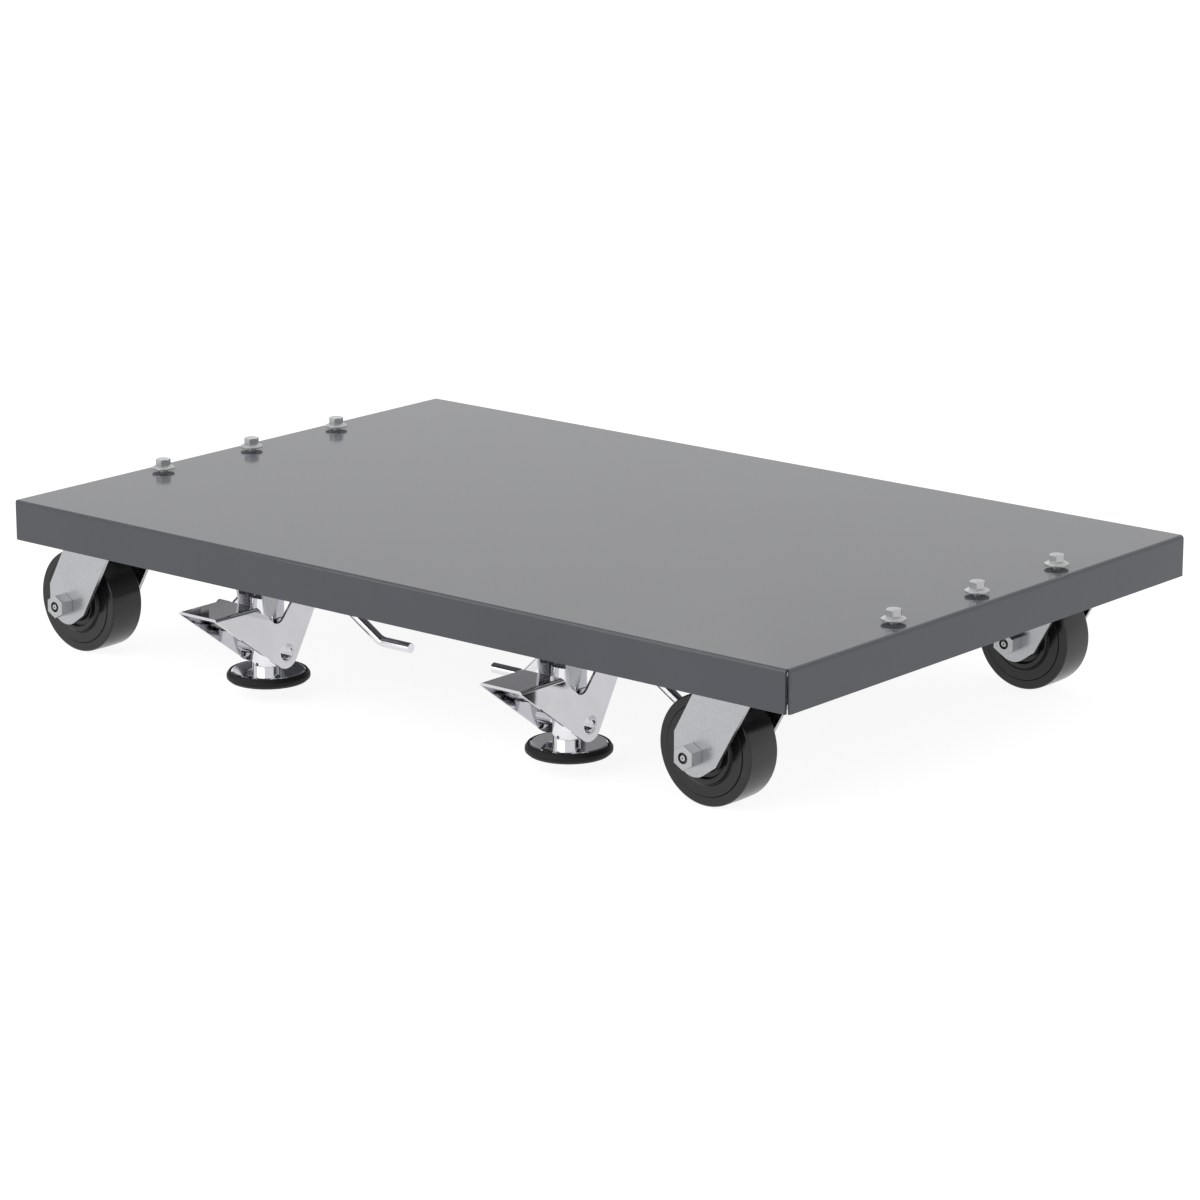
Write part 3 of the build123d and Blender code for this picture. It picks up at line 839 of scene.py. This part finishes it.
# ---------------------------------------------------------------- deck
@dataclass
class Deck:
    """The folded deck sheet and what is fixed to it."""

    bench: Bench
    sheet: float = 2.5 * MM
    fold: float = 3.5 * MM
    notch_x: float = 3.4 * MM
    notch_y: float = 2.6 * MM
    cut_edge: float = 0.35 * MM
    bolt_gap: float = 2.6 * MM
    flange_radius: float = 10.9 * MM
    flange_edge: float = 1.2 * MM
    cone_radius: float = 7.6 * MM
    cone_height: float = 3.1 * MM
    crown_radius: float = 6.0 * MM
    crown_height: float = 3.4 * MM
    head_flats: float = 12.7 * MM
    head_start: float = 2.2 * MM
    shank_radius: float = 3.97 * MM
    shank_end: float = -24.0 * MM
    shank_point: tuple[float, float] = (3.2 * MM, 0.8 * MM)
    head_turn: float = 30.0

    def build(self) -> None:
        """Builds the deck, its bolts and the plates under it."""
        self.tray()
        self.clamp_bolts()
        for node in ("caster_pads", "lock_pads"):
            self.bench.dressed_copy(node, POWDER_GREY)
        for node in ("caster_screws", "lock_screws", "weld_nuts"):
            self.bench.dressed_copy(node, ZINC_BOLT, SMALL_RIM)

    def tray(self) -> None:
        """Folds four skirts down from a flat sheet whose corners are notched."""
        half_x, half_y, low = DECK_HIGH.x, DECK_HIGH.y, DECK_LOW.z
        mesh = bmesh.new()
        bmesh.ops.create_grid(mesh, x_segments=3, y_segments=3, size=1.0)
        for vert in mesh.verts:
            at_end, at_side = abs(vert.co.x) > 0.5, abs(vert.co.y) > 0.5
            vert.co.x = (1 if vert.co.x > 0 else -1) * (half_x - (0 if at_end else self.notch_x))
            vert.co.y = (1 if vert.co.y > 0 else -1) * (half_y - (0 if at_side else self.notch_y))
        corners = [f for f in mesh.faces if f.calc_area() < 4 * self.notch_x * self.notch_y]
        bmesh.ops.delete(mesh, geom=corners, context="FACES")
        rims = [e for e in mesh.edges if e.is_boundary and e.calc_length() > 10 * self.notch_x]
        for rim in rims:
            skirt = bmesh.ops.extrude_edge_only(mesh, edges=[rim])["geom"]
            for vert in (g for g in skirt if isinstance(g, bmesh.types.BMVert)):
                vert.co.z = low
        folds = [e for e in mesh.edges if len(e.link_faces) == 2 and e.calc_face_angle(0) > radians(45)]
        bmesh.ops.bevel(mesh, geom=folds, offset=self.fold, segments=8, profile=0.5,
                        affect="EDGES", clamp_overlap=False, material=-1)
        bmesh.ops.recalc_face_normals(mesh, faces=mesh.faces)
        if sum(f.normal.z * f.calc_area() for f in mesh.faces) < 0:
            bmesh.ops.reverse_faces(mesh, faces=mesh.faces)
        self.bench.piece("deck_skin", mesh, "chassis", POWDER_GREY, ["deck_tray"],
                         wall=Wall(self.sheet, self.cut_edge))

    def clamp_bolts(self) -> None:
        """Six hex flange bolts, turned in until a small gap is left under the flange."""
        low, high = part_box("deck_bolts")
        seat, wide = self.bolt_gap, self.flange_radius
        rows = (low.x + wide, high.x - wide)
        end_y = high.y - wide
        point, taper = self.shank_point
        turned = rounded([
            (0, self.shank_end, 0), (point, self.shank_end, 0),
            (self.shank_radius, self.shank_end + taper, 0), (self.shank_radius, seat, 0),
            (wide, seat, 0.25 * MM),
            (wide, seat + self.flange_edge, 0.4 * MM), (self.cone_radius, seat + self.cone_height, 0.8 * MM),
            (self.crown_radius, seat + self.crown_height, 0), (0, seat + self.crown_height, 0),
        ])
        meshes = []
        for x, y in [(x, y) for x in rows for y in (-end_y, 0.0, end_y)]:
            meshes.append(lathe(turned, Axis.Z, (x, y, 0), 64))
            meshes.append(hex_piece(self.head_flats, seat + self.head_start, high.z, Axis.Z, (x, y, 0),
                                    turn=self.head_turn))
        self.bench.piece("clamp_bolts", self.bench.joined(meshes), "chassis", ZINC_BOLT, ["deck_bolts"])


# ---------------------------------------------------------------- casters
@dataclass
class Caster:
    """One swivel caster: top plate, fork, axle and wheel."""

    bench: Bench
    corner: str
    half: float = 19.3 * MM
    web_recess: float = 1.0 * MM
    boss_proud: float = 2.6 * MM
    sidewall_step: float = 0.7 * MM
    moat_depth: float = 0.9 * MM
    groove_depth: float = 1.2 * MM
    bearing_radius: float = 11.9 * MM
    hub_radii: tuple[float, float] = (16.3 * MM, 18.5 * MM)
    boss_radii: tuple[float, float, float] = (23.0 * MM, 24.0 * MM, 27.8 * MM)
    moat_radii: tuple[float, float] = (29.2 * MM, 30.6 * MM)
    groove_radii: tuple[float, float, float] = (39.8 * MM, 40.2 * MM, 40.7 * MM)
    shoulder: float = 2.0 * MM
    tread_drop: float = 0.4 * MM
    crown_drop: float = 0.1 * MM
    crown_share: float = 0.45
    leg: float = 34.0 * MM
    head_end: float = 48.0 * MM
    head_flats: float = 19.0 * MM
    head_rim: float = 2.4 * MM
    recess_radius: float = 5.0 * MM
    recess_depth: float = 2.4 * MM
    fitting_depth: float = 2.6 * MM
    fitting_radius: float = 2.6 * MM
    fitting_proud: float = 0.35 * MM
    mouth_radii: tuple[float, float] = (0.75 * MM, 0.7 * MM)
    mouth_depth: float = 1.2 * MM
    shank_radius: float = 6.35 * MM
    collar_radii: tuple[float, float] = (6.4 * MM, 8.4 * MM)
    collar_height: float = 2.6 * MM
    collar_root: float = 3.2 * MM
    nut_turn: float = 30.0

    def __post_init__(self) -> None:
        """Reads the caster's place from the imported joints."""
        joints = {joint["name"]: joint for joint in frame["joints"]}
        self.axle = Vector(joints[f"roll_{self.corner}"]["pos_m"])
        self.body = f"caster_{self.corner}"
        self.roller = f"roller_{self.corner}"

    def build(self) -> None:
        """Builds every piece of the caster."""
        self.bench.dressed_copy(f"top_plate_{self.corner}", ZINC_SHEET)
        self.bench.dressed_copy(f"fork_{self.corner}", ZINC_SHEET, FORK_RIM)
        self.wheel()
        self.axle_bolt()
        self.axle_nut()
        self.bench.dressed_copy(f"wheel_bearing_{self.corner}", BALL_STEEL, SMALL_RIM)

    def wheel(self) -> None:
        """Solid wheel: crowned tread, grooved faces, stepped hub."""
        low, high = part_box(f"wheel_{self.corner}")
        radius, hub = (high.z - low.z) / 2, (high.y - low.y) / 2
        half = self.half
        web, boss, step = half - self.web_recess, half + self.boss_proud, half - self.sidewall_step
        hub_top, hub_foot = self.hub_radii
        boss_foot, boss_in, boss_out = self.boss_radii
        moat_in, moat_out = self.moat_radii
        groove_in, groove, groove_out = self.groove_radii
        face = [
            (self.bearing_radius, hub, 0.3 * MM), (hub_top, hub, 0.9 * MM), (hub_foot, web, 1.5 * MM),
            (boss_foot, web, 0.8 * MM), (boss_in, boss, 0.7 * MM), (boss_out, boss, 0.9 * MM),
            (moat_in, half - self.moat_depth, 0.5 * MM), (moat_out, half, 0.3 * MM),
            (groove_in, half, 0.1 * MM), (groove, half - self.groove_depth, 0),
            (groove_out, step, 0.1 * MM), (radius - self.tread_drop, step, self.shoulder),
        ]
        low_crown, reach = radius - self.crown_drop, half * self.crown_share
        crown = [(low_crown, reach, 0), (radius, 0, 0), (low_crown, -reach, 0)]
        mirrored = [(r, -w, f) for r, w, f in reversed(face)]
        outline = rounded([*face, *crown, *mirrored])
        mesh = lathe(outline, Axis.Y, self.axle, 160)
        finish = MouldedWheel(f"moulded_wheel_{self.corner}", "wheel_black", (0.0085, 0.0085, 0.009), 0.17,
                              centre=tuple(self.axle), radius=radius)
        self.bench.piece(f"wheel_look_{self.corner}", mesh, self.roller, finish,
                         [f"wheel_{self.corner}"])

    def axle_bolt(self) -> None:
        """Axle with a long hex head and the lubricating fitting in its end."""
        _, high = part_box(f"axle_{self.corner}")
        place = tuple(self.axle)
        top, root = -self.head_end - self.fitting_proud, -self.head_end + self.fitting_depth
        mouth, throat = self.mouth_radii
        bottom = -self.head_end + self.mouth_depth
        fitting = rounded([
            (0, root, 0), (self.fitting_radius, root, 0), (self.fitting_radius, top, 0.45 * MM),
            (mouth, top, 0.1 * MM), (throat, bottom, 0), (0, bottom, 0),
        ])
        end, thick = high.y - self.axle.y, self.shank_radius
        shank = rounded([(0, -self.leg, 0), (thick, -self.leg, 0), (thick, end, 0.9 * MM), (0, end, 0)])
        meshes = [self.head_with_recess(place), lathe(fitting, Axis.Y, place, 40),
                  lathe(shank, Axis.Y, place, 48)]
        finish = ShadedRecessZinc(f"zinc_axle_{self.corner}", ZINC_BOLT.slot, ZINC_BOLT.colour,
                             ZINC_BOLT.roughness, grain=ZINC_BOLT.grain, centre=place)
        self.bench.piece(f"axle_look_{self.corner}", self.bench.joined(meshes), self.body, finish,
                         [f"axle_{self.corner}"])

    def head_with_recess(self, place: Sequence[float]) -> bmesh.types.BMesh:
        """Hex head whose end face is bored for the fitting.

        Args:
            place: The axle's middle.

        Returns:
            The head's mesh.
        """
        mesh = bmesh.new()
        bmesh.ops.create_circle(mesh, cap_ends=True, segments=6, radius=self.head_flats / sqrt(3))
        base = mesh.faces[:]
        top = bmesh.ops.extrude_face_region(mesh, geom=base)["geom"]
        lifted = [g for g in top if isinstance(g, bmesh.types.BMVert)]
        bmesh.ops.translate(mesh, vec=(0, 0, self.head_end - self.leg), verts=lifted)
        soften_rims(mesh, PEDAL_RIM, 40.0)
        mesh.faces.ensure_lookup_table()
        face = max(mesh.faces, key=lambda f: f.calc_center_median().z)
        bmesh.ops.inset_individual(mesh, faces=[face], thickness=self.head_rim, use_even_offset=True)
        bmesh.ops.subdivide_edges(mesh, edges=face.edges[:], cuts=5)
        for vert in face.verts:
            flat = Vector((vert.co.x, vert.co.y)).normalized() * self.recess_radius
            vert.co.x, vert.co.y = flat.x, flat.y
        bmesh.ops.inset_individual(mesh, faces=[face], thickness=0.2 * MM, depth=-self.recess_depth)
        seat = Matrix.Translation((place[0], place[1] - self.leg, place[2]))
        bmesh.ops.transform(mesh, matrix=seat @ Matrix.Rotation(radians(90), 4, "X"), verts=mesh.verts)
        bmesh.ops.recalc_face_normals(mesh, faces=mesh.faces)
        return mesh

    def axle_nut(self) -> None:
        """Lock nut with its collar on the far leg."""
        low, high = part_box(f"axle_nut_{self.corner}")
        place = tuple(self.axle)
        near, far = low.y - self.axle.y, high.y - self.axle.y
        nut = hex_piece(self.head_flats, near, far - self.collar_height, Axis.Y, place, (True, True),
                        self.nut_turn)
        inner, outer = self.collar_radii
        root = far - self.collar_root
        collar = rounded([(inner, root, 0), (outer, root, 0), (outer, far, 0.8 * MM),
                          (inner, far, 0.2 * MM)])
        whole = self.bench.joined([nut, lathe(collar, Axis.Y, place, 48)])
        self.bench.piece(f"axle_nut_look_{self.corner}", whole, self.body, ZINC_BOLT,
                         [f"axle_nut_{self.corner}"])


# ---------------------------------------------------------------- floor locks
@dataclass
class FloorLock:
    """One floor lock: frame, plunger, pedal and release bar."""

    bench: Bench
    side: str
    pin_wall: float = 0.9 * MM
    pin_bore_depth: float = 7.0 * MM
    disc_radius: float = 34.2 * MM
    disc_gap: float = 0.15 * MM
    disc_thickness: float = 2.3 * MM
    disc_rim: tuple[float, float] = (32.6 * MM, 0.9 * MM)
    seat_depth: float = 1.8 * MM
    sole_inset: float = 3.0 * MM
    sole_rise: float = 2.6 * MM
    lip_drop: float = 3.4 * MM
    lip_inset: float = 2.4 * MM
    bulge: float = 2.2 * MM

    def __post_init__(self) -> None:
        """Reads the lock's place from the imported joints."""
        joints = {joint["name"]: joint for joint in frame["joints"]}
        self.pin = Vector(joints[f"press_{self.side}"]["pos_m"])
        self.travel = joints[f"plunge_{self.side}"]["range_m"][1]

    def build(self) -> None:
        """Builds every piece of the lock."""
        side = self.side
        self.bench.dressed_copy(f"lock_frame_{side}", ZINC_SHEET)
        self.bench.dressed_copy(f"pedal_{side}", SATIN_BRIGHT, PEDAL_RIM)
        self.bench.dressed_copy(f"knee_pin_{side}", ZINC_BOLT, SMALL_RIM)
        self.bench.dressed_copy(f"trip_fork_{side}", ZINC_SHEET)
        self.bench.dressed_copy(f"plunger_stem_{side}", BRIGHT_STEEL, SMALL_RIM)
        self.bench.dressed_copy(f"plunger_hub_{side}", BRIGHT_STEEL, SMALL_RIM)
        self.bench.dressed_copy(f"release_bar_{side}", BRIGHT_STEEL, PEDAL_RIM)
        self.return_spring()
        self.pedal_pin()
        self.foot()

    def return_spring(self) -> None:
        """Coil spring, dressed from the imported node and given its own copy of the mesh."""
        spring = self.bench.dressed_copy(f"return_spring_{self.side}", SPRING_WIRE, NO_RIM)
        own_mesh(spring)

    def pedal_pin(self) -> None:
        """Pivot pin of the pedal, turned hollow at both ends."""
        low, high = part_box(f"pedal_pin_{self.side}")
        end, radius = (high.x - low.x) / 2, (high.z - low.z) / 2
        bore, floor = radius - self.pin_wall, end - self.pin_bore_depth
        half = [(0, floor, 0), (bore, floor, 0.5 * MM), (bore, end, 0.2 * MM), (radius, end, 0.3 * MM)]
        mirrored = [(r, -x, f) for r, x, f in reversed(half)]
        mesh = lathe(rounded([*half, *mirrored]), Axis.X, self.pin, 72)
        self.bench.piece(f"pedal_pin_look_{self.side}", mesh, f"plunger_{self.side}", BRIGHT_STEEL,
                         [f"pedal_pin_{self.side}"])

    def foot(self) -> None:
        """Rubber foot and the bright disc that backs it."""
        low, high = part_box(f"pad_rubber_{self.side}")
        _, disc_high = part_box(f"pad_plate_{self.side}")
        place = (self.pin.x, self.pin.y, 0)
        radius = (high.x - low.x) / 2
        seat, seat_floor = self.disc_radius + self.disc_gap, high.z - self.seat_depth
        rubber = rounded([
            (0, low.z, 0), (radius - self.sole_inset, low.z, 1.0 * MM),
            (radius, low.z + self.sole_rise, self.bulge), (radius, high.z - self.lip_drop, self.bulge),
            (radius - self.lip_inset, high.z, 1.2 * MM), (seat, high.z, 0.3 * MM),
            (seat, seat_floor, 0), (0, seat_floor, 0),
        ])
        finish = FootRubber("foot_rubber", "foot_rubber", (0.006, 0.006, 0.0065), 0.55, dusty_below=low.z)
        self.bench.piece(f"foot_look_{self.side}", lathe(rubber, Axis.Z, place, 128), f"plunger_{self.side}",
                         finish, [f"pad_rubber_{self.side}"])
        top, bottom = disc_high.z, disc_high.z - self.disc_thickness
        inner, drop = self.disc_rim
        disc = rounded([
            (0, bottom, 0), (self.disc_radius, bottom, 0), (self.disc_radius, top - drop, 0.5 * MM),
            (inner, top, 0.8 * MM), (0, top, 0),
        ])
        self.bench.piece(f"foot_disc_{self.side}", lathe(disc, Axis.Z, place, 128), f"plunger_{self.side}",
                         BRIGHT_STEEL, [f"pad_plate_{self.side}"])


# ---------------------------------------------------------------- studio
@dataclass(frozen=True)
class SoftBox:
    """One large square light that faces the deck."""

    name: str
    place: tuple[float, float, float]
    size: float
    power: float


@dataclass
class Studio:
    """Floor, lights and camera."""

    bench: Bench
    azimuth: float = 39.965
    elevation: float = 14.8645
    distance: float = 3.98
    aim: tuple[float, float, float] = (0.0201, -0.0093, -0.0739)
    lens: float = 129.7
    floor_z: float = -0.150
    floor_gap: float = 0.2 * MM
    floor_half: float = 30.0
    sky_strength: float = 1.0
    boxes: tuple[SoftBox, ...] = (
        SoftBox("key_box", (-0.9, -3.2, 1.9), 4.0, 62.0),
        SoftBox("rim_box", (-2.6, 2.2, 2.2), 2.0, 6.0),
    )

    def build(self) -> None:
        """Sets up the whole studio."""
        self.floor()
        self.sky()
        self.lights()
        self.camera()

    def floor(self) -> None:
        """Plain pale floor just under the wheels."""
        mesh = bmesh.new()
        bmesh.ops.create_grid(mesh, x_segments=1, y_segments=1, size=self.floor_half)
        bmesh.ops.translate(mesh, vec=(0, 0, self.floor_z - self.floor_gap), verts=mesh.verts)
        data = bpy.data.meshes.new("studio_floor")
        mesh.to_mesh(data)
        mesh.free()
        floor = bpy.data.objects.new("studio_floor", data)
        bpy.context.scene.collection.objects.link(floor)
        data.materials.append(self.bench.palette.get(PaleFloor("pale_floor", "", (0.20, 0.20, 0.20), 0.7)))

    def sky(self) -> None:
        """Even white surroundings."""
        world = bpy.data.worlds.new("studio")
        world.use_nodes = True
        background = world.node_tree.nodes["Background"]
        background.inputs["Color"].default_value = (1.0, 1.0, 1.0, 1.0)
        background.inputs["Strength"].default_value = self.sky_strength
        bpy.context.scene.world = world

    def lights(self) -> None:
        """Two large soft boxes."""
        for box in self.boxes:
            lamp = bpy.data.lights.new(box.name, "AREA")
            lamp.shape = "SQUARE"
            lamp.size = box.size
            lamp.energy = box.power
            holder = bpy.data.objects.new(box.name, lamp)
            holder.location = box.place
            holder.rotation_mode = "QUATERNION"
            holder.rotation_quaternion = Vector(box.place).to_track_quat("Z", "Y")
            bpy.context.scene.collection.objects.link(holder)

    def camera(self) -> None:
        """Camera at a low three-quarter angle."""
        around, up = radians(self.azimuth), radians(self.elevation)
        back = Vector((sin(around) * cos(up), -cos(around) * cos(up), sin(up)))
        lens = bpy.data.cameras.new("view")
        lens.lens = self.lens
        lens.sensor_width = 36.0
        lens.clip_end = 100.0
        camera = bpy.data.objects.new("view", lens)
        camera.location = Vector(self.aim) + back * self.distance
        camera.rotation_mode = "QUATERNION"
        camera.rotation_quaternion = (-back).to_track_quat("-Z", "Y")
        bpy.context.scene.collection.objects.link(camera)
        bpy.context.scene.camera = camera


def main() -> None:
    """Builds the dolly and its studio."""
    logging.basicConfig(level=logging.INFO, format="%(name)s %(message)s")
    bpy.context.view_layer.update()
    bench = Bench()
    Deck(bench).build()
    bench.dressed_copy("kingpins", ZINC_BOLT, SMALL_RIM)
    bench.dressed_copy("race_balls", BALL_STEEL, NO_RIM)
    bench.dressed_copy("guide_tubes", BRIGHT_STEEL, TUBE_RIM)
    bench.dressed_copy("guide_bushes", BUSH_BRONZE, SMALL_RIM)
    for corner in ("front_left", "front_right", "rear_left", "rear_right"):
        Caster(bench, corner).build()
    for side in ("left", "right"):
        FloorLock(bench, side).build()
    Studio(bench).build()
    bpy.context.scene.view_settings.view_transform = "Standard"


if __name__ == "__main__":
    main()
